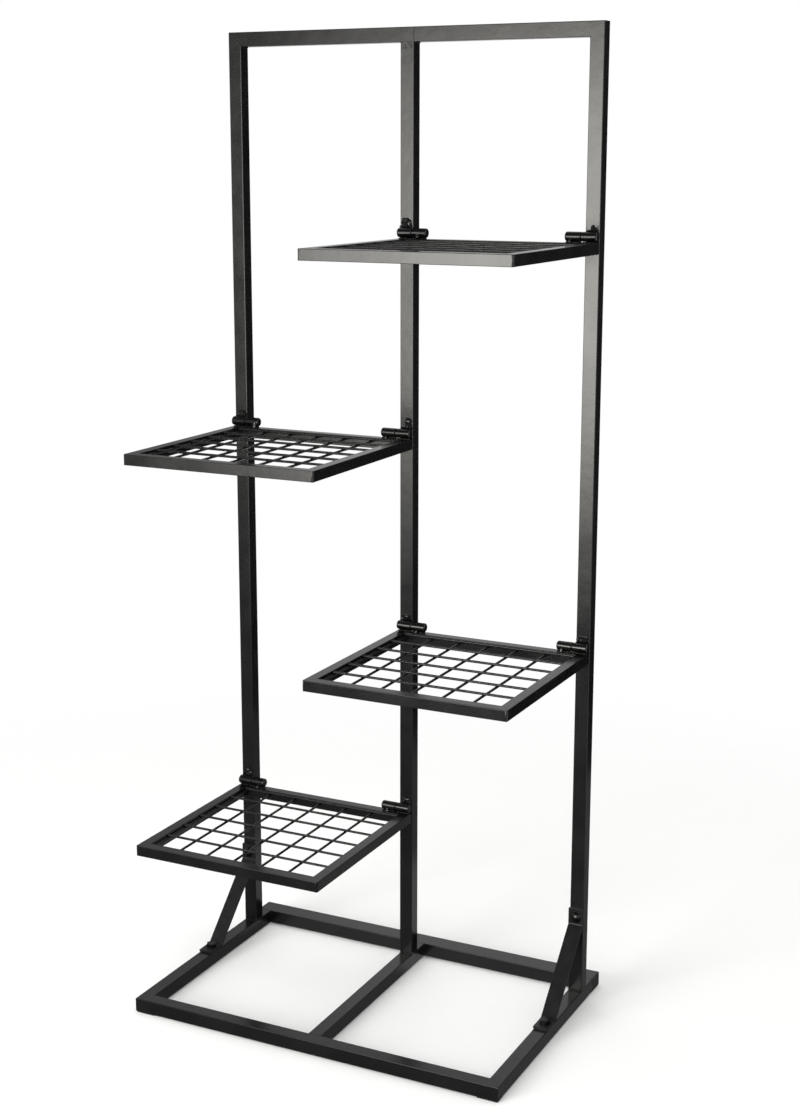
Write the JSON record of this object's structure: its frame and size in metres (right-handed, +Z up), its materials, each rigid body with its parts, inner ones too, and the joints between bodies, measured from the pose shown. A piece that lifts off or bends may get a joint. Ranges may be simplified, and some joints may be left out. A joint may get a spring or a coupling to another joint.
{
  "type": "tiered plant stand",
  "caption": "Tall plant stand with a welded square tube frame on a flat braced base and staggered wire grid shelves that fold up on barrel hinges.",
  "frame": {"origin": "centre of the base's outline, on the ground under the foot pads", "axes": "+X to the right seen from the front, +Y to the back, +Z up"},
  "size_m": [0.567, 0.377, 1.3715],
  "materials": {
    "black_powder_coat": "satin black powder coat",
    "wire_powder_coat": "satin black powder coat on wire",
    "hinge_powder_coat": "gloss black powder coat on turned steel",
    "pin_steel": "bright drawn steel",
    "black_bolt": "gloss black coated bolt",
    "zinc_steel": "zinc plated",
    "black_plastic": "matt moulded"
  },
  "bodies": {
    "frame": {"left_post": "black_powder_coat", "middle_post": "black_powder_coat", "right_post": "black_powder_coat", "top_rail_left": "black_powder_coat", "top_rail_right": "black_powder_coat", "base_front_rail": "black_powder_coat", "base_back_rail": "black_powder_coat", "base_left_rail": "black_powder_coat", "base_middle_rail": "black_powder_coat", "base_right_rail": "black_powder_coat", "back_rail_caps": "black_plastic", "foot_pads": "black_plastic", "left_brace": "black_powder_coat", "right_brace": "black_powder_coat", "brace_upper_bolts": "black_bolt", "brace_lower_bolts": "black_bolt", "brace_nuts": "zinc_steel", "shelf_1_post_knuckles": "hinge_powder_coat", "shelf_1_hinge_pins": "pin_steel", "shelf_2_post_knuckles": "hinge_powder_coat", "shelf_2_hinge_pins": "pin_steel", "shelf_3_post_knuckles": "hinge_powder_coat", "shelf_3_hinge_pins": "pin_steel", "shelf_4_post_knuckles": "hinge_powder_coat", "shelf_4_hinge_pins": "pin_steel"},
    "shelf_1": {"shelf_1_front_tube": "black_powder_coat", "shelf_1_back_tube": "black_powder_coat", "shelf_1_left_tube": "black_powder_coat", "shelf_1_right_tube": "black_powder_coat", "shelf_1_long_wires": "wire_powder_coat", "shelf_1_cross_wires": "wire_powder_coat", "shelf_1_shelf_knuckles": "hinge_powder_coat"},
    "shelf_2": {"shelf_2_front_tube": "black_powder_coat", "shelf_2_back_tube": "black_powder_coat", "shelf_2_left_tube": "black_powder_coat", "shelf_2_right_tube": "black_powder_coat", "shelf_2_long_wires": "wire_powder_coat", "shelf_2_cross_wires": "wire_powder_coat", "shelf_2_shelf_knuckles": "hinge_powder_coat"},
    "shelf_3": {"shelf_3_front_tube": "black_powder_coat", "shelf_3_back_tube": "black_powder_coat", "shelf_3_left_tube": "black_powder_coat", "shelf_3_right_tube": "black_powder_coat", "shelf_3_long_wires": "wire_powder_coat", "shelf_3_cross_wires": "wire_powder_coat", "shelf_3_shelf_knuckles": "hinge_powder_coat"},
    "shelf_4": {"shelf_4_front_tube": "black_powder_coat", "shelf_4_back_tube": "black_powder_coat", "shelf_4_left_tube": "black_powder_coat", "shelf_4_right_tube": "black_powder_coat", "shelf_4_long_wires": "wire_powder_coat", "shelf_4_cross_wires": "wire_powder_coat", "shelf_4_shelf_knuckles": "hinge_powder_coat"}
  },
  "joints": [
    {"name": "shelf_1_fold", "type": "hinge", "parent": "frame", "child": "shelf_1", "pos_m": [0.13625, 0.1077, 1.0975], "axis": [-1, 0, 0], "range_deg": [0, 90]},
    {"name": "shelf_2_fold", "type": "hinge", "parent": "frame", "child": "shelf_2", "pos_m": [-0.13625, 0.1077, 0.8175], "axis": [-1, 0, 0], "range_deg": [0, 65]},
    {"name": "shelf_3_fold", "type": "hinge", "parent": "frame", "child": "shelf_3", "pos_m": [0.13625, 0.1077, 0.5375], "axis": [-1, 0, 0], "range_deg": [0, 65]},
    {"name": "shelf_4_fold", "type": "hinge", "parent": "frame", "child": "shelf_4", "pos_m": [-0.13625, 0.1077, 0.2575], "axis": [-1, 0, 0], "range_deg": [0, 65]}
  ]
}
